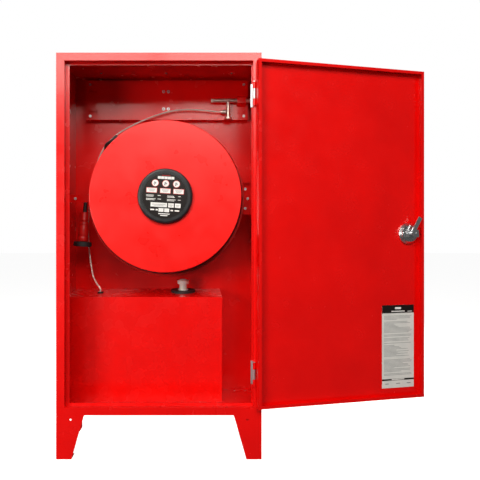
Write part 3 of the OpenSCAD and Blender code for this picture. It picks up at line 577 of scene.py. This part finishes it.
# %% [markdown]
# ## The nozzle
# The nozzle is moulded in red plastic round its own axis: a collar that screws onto the black
# neck, a deep groove, and a grip that widens downwards and has two bands round it. A profile
# spun about the axis gives such a piece its true edges. The profile is drawn upright, from the
# top down, then leaned as the nozzle hangs.

# %% Turning a profile
def turned(name, profile, place, finish, body, segments=96, bevel_mm=0.0):
    """A piece spun from a profile of (radius, height) in millimetres, about its own Z axis."""
    bm = bmesh.new()
    ring = [bm.verts.new((r * MM, 0, z * MM)) for r, z in profile]
    for a, b in zip(ring, ring[1:]):
        bm.edges.new((a, b))
    bmesh.ops.spin(bm, geom=bm.verts[:] + bm.edges[:], cent=(0, 0, 0), axis=(0, 0, 1),
                   angle=2 * math.pi, steps=segments, use_merge=True)
    bmesh.ops.remove_doubles(bm, verts=bm.verts, dist=1e-7)
    bmesh.ops.recalc_face_normals(bm, faces=bm.faces)
    if bevel_mm:
        sharp = [e for e in bm.edges if len(e.link_faces) == 2
                 and e.calc_face_angle() > math.radians(30)]
        bmesh.ops.bevel(bm, geom=sharp, offset=bevel_mm * MM, affect="EDGES", segments=2,
                        profile=0.5, material=-1)
    bmesh.ops.transform(bm, matrix=place, verts=bm.verts)
    data = bpy.data.meshes.new(name)
    bm.to_mesh(data)
    bm.free()
    data.materials.append(finish)
    data.shade_smooth()
    data.set_sharp_from_angle(angle=math.radians(35))
    made = bpy.data.objects.new(name, data)
    scene.collection.objects.link(made)
    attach(made, body)
    return made


LEAN = math.radians(4.4)
nozzle_place = Matrix.Translation((-0.286, 0.043, 0.900)) @ Matrix.Rotation(LEAN, 4, "Y")
grip_profile = [
    (0, -49), (12.6, -49), (13.2, -50), (13.2, -58), (14.2, -59), (14.6, -74), (15.2, -76),
    (15.2, -80.5), (12.2, -81.5), (12.2, -84.5), (16.2, -85.5), (17.2, -92), (17.4, -96),
    (16.6, -96.6), (16.6, -98.4), (17.7, -99), (19.4, -138), (18.7, -138.6), (18.7, -140.4),
    (19.7, -141), (20.4, -146), (20.6, -152), (19.8, -158), (9, -159.5), (9, -140), (0, -140),
]
grip = turned("nozzle_grip", grip_profile, nozzle_place, red_pp, "nozzle", bevel_mm=0.25)
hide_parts("nozzle_body")
print("nozzle grip", len(grip.data.polygons), "faces")

# %% [markdown]
# ## Finishes for the solids that stay
# Every solid keeps its measured shape and takes the finish that its real piece has.

# %% Which finish goes where
FINISHES = {
    red_coat: "body_wrap floor_pan back_panel front_frame left_front_leg right_front_leg "
              "left_rear_leg right_rear_leg back_rail pipe_clamp reel_bar right_bracket "
              "left_bracket door_pan hinge_door_leaves axle_plate",
    reel_coat: "drum front_disc rear_disc",
    tank_coat: "foam_tank",
    zinc: "leg_bolts side_rivets ceiling_screws rail_screws rail_rivets bracket_bolts "
          "retaining_ring hinge_frame_leaves hinge_pins latch_bridge latch_screws "
          "latch_spindle latch_cam axle_nut nozzle_clip",
    nickel: "inlet_pipe tee_leg tube_nut swivel_elbow",
    chrome: "latch_dish",
    cast_grey: "latch_handle",
    brass: "axle_tube",
    rubber: "clamp_pad inlet_grommet tube_grommet tank_gasket nozzle_bumper",
    black_abs: "front_bush rear_bush hub_cap nozzle_neck",
    white_pe: "tank_cap pipe_plug dip_tube",
    black_film: "hub_label",
    white_film: "door_label",
}
dressed = set()
for finish, names in FINISHES.items():
    for name in names.split():
        nodes[name].data.materials.clear()
        nodes[name].data.materials.append(finish)
        dressed.add(name)
bare = sorted(n for n in set(nodes) - dressed if not nodes[n].hide_render)
print("dressed", len(dressed), "solids; bare:", bare)

# %% [markdown]
# ## Smooth faces on the round solids
# A solid comes as flat triangles. Shading a round one smooth, with a limit of 30 degrees, keeps
# its edges sharp and lets its round faces reflect as one surface.

# %% Smooth shading
for name in dressed:
    nodes[name].data.shade_smooth()
    nodes[name].data.set_sharp_from_angle(angle=math.radians(30))
print("smoothed", len(dressed))

# %% [markdown]
# ## Floor, room and light
# The cabinet stands on a pale plain floor in a white studio. A large soft lamp hangs at the
# upper left in front, so the upper left of the red is the brightest, and weaker ones fill from
# the right and from low on the left. One more stands behind and lights the back. The floor
# glows a little and is hidden from reflections, so it stays white and doesn't tint the red.

# %% Floor and light
floor_mesh = bmesh.new()
bmesh.ops.create_grid(floor_mesh, x_segments=1, y_segments=1, size=30)
floor_data = bpy.data.meshes.new("studio_floor")
floor_mesh.to_mesh(floor_data)
floor_mesh.free()
floor = bpy.data.objects.new("studio_floor", floor_data)
scene.collection.objects.link(floor)
floor_data.materials.append(finish_named(
    "pale_studio_floor", "#F4F4F3", 0.6, Emission_Color=(1, 1, 1, 1), Emission_Strength=0.9)[0])
floor.visible_glossy = False
floor.visible_diffuse = False

world = bpy.data.worlds.new("white_studio")
scene.world = world
world.use_nodes = True
behind = add(world.node_tree, "ShaderNodeLightPath").outputs["Is Camera Ray"]
strength = between(world.node_tree, behind, 0.07, 1.0, 0.0, 1.0)
world.node_tree.nodes["Background"].inputs["Color"].default_value = (1, 1, 1, 1)
world.node_tree.links.new(strength, world.node_tree.nodes["Background"].inputs["Strength"])


def soft_lamp(name, place, target, size, power):
    """A square area lamp that faces its target."""
    data = bpy.data.lights.new(name, "AREA")
    data.size = size
    data.energy = power
    data.spread = math.radians(100)
    data.color = (1.0, 0.94, 0.87)
    made = bpy.data.objects.new(name, data)
    made.location = place
    aim = Vector(target) - Vector(place)
    made.rotation_euler = aim.to_track_quat("-Z", "Y").to_euler()
    scene.collection.objects.link(made)
    return made


soft_lamp("left_lamp", (-1.1, -3.1, 3.0), (0.1, 0, 0.8), 2.0, 31)
soft_lamp("front_lamp", (0.7, -3.4, 2.8), (0, 0, 0.8), 1.8, 26)
soft_lamp("low_lamp", (-1.9, -2.5, 0.9), (0, 0, 0.5), 1.0, 12)
soft_lamp("back_lamp", (1.9, 3.4, 2.2), (0, 0.2, 0.7), 2.4, 60)
scene.view_settings.view_transform = "Standard"
print("studio ready")
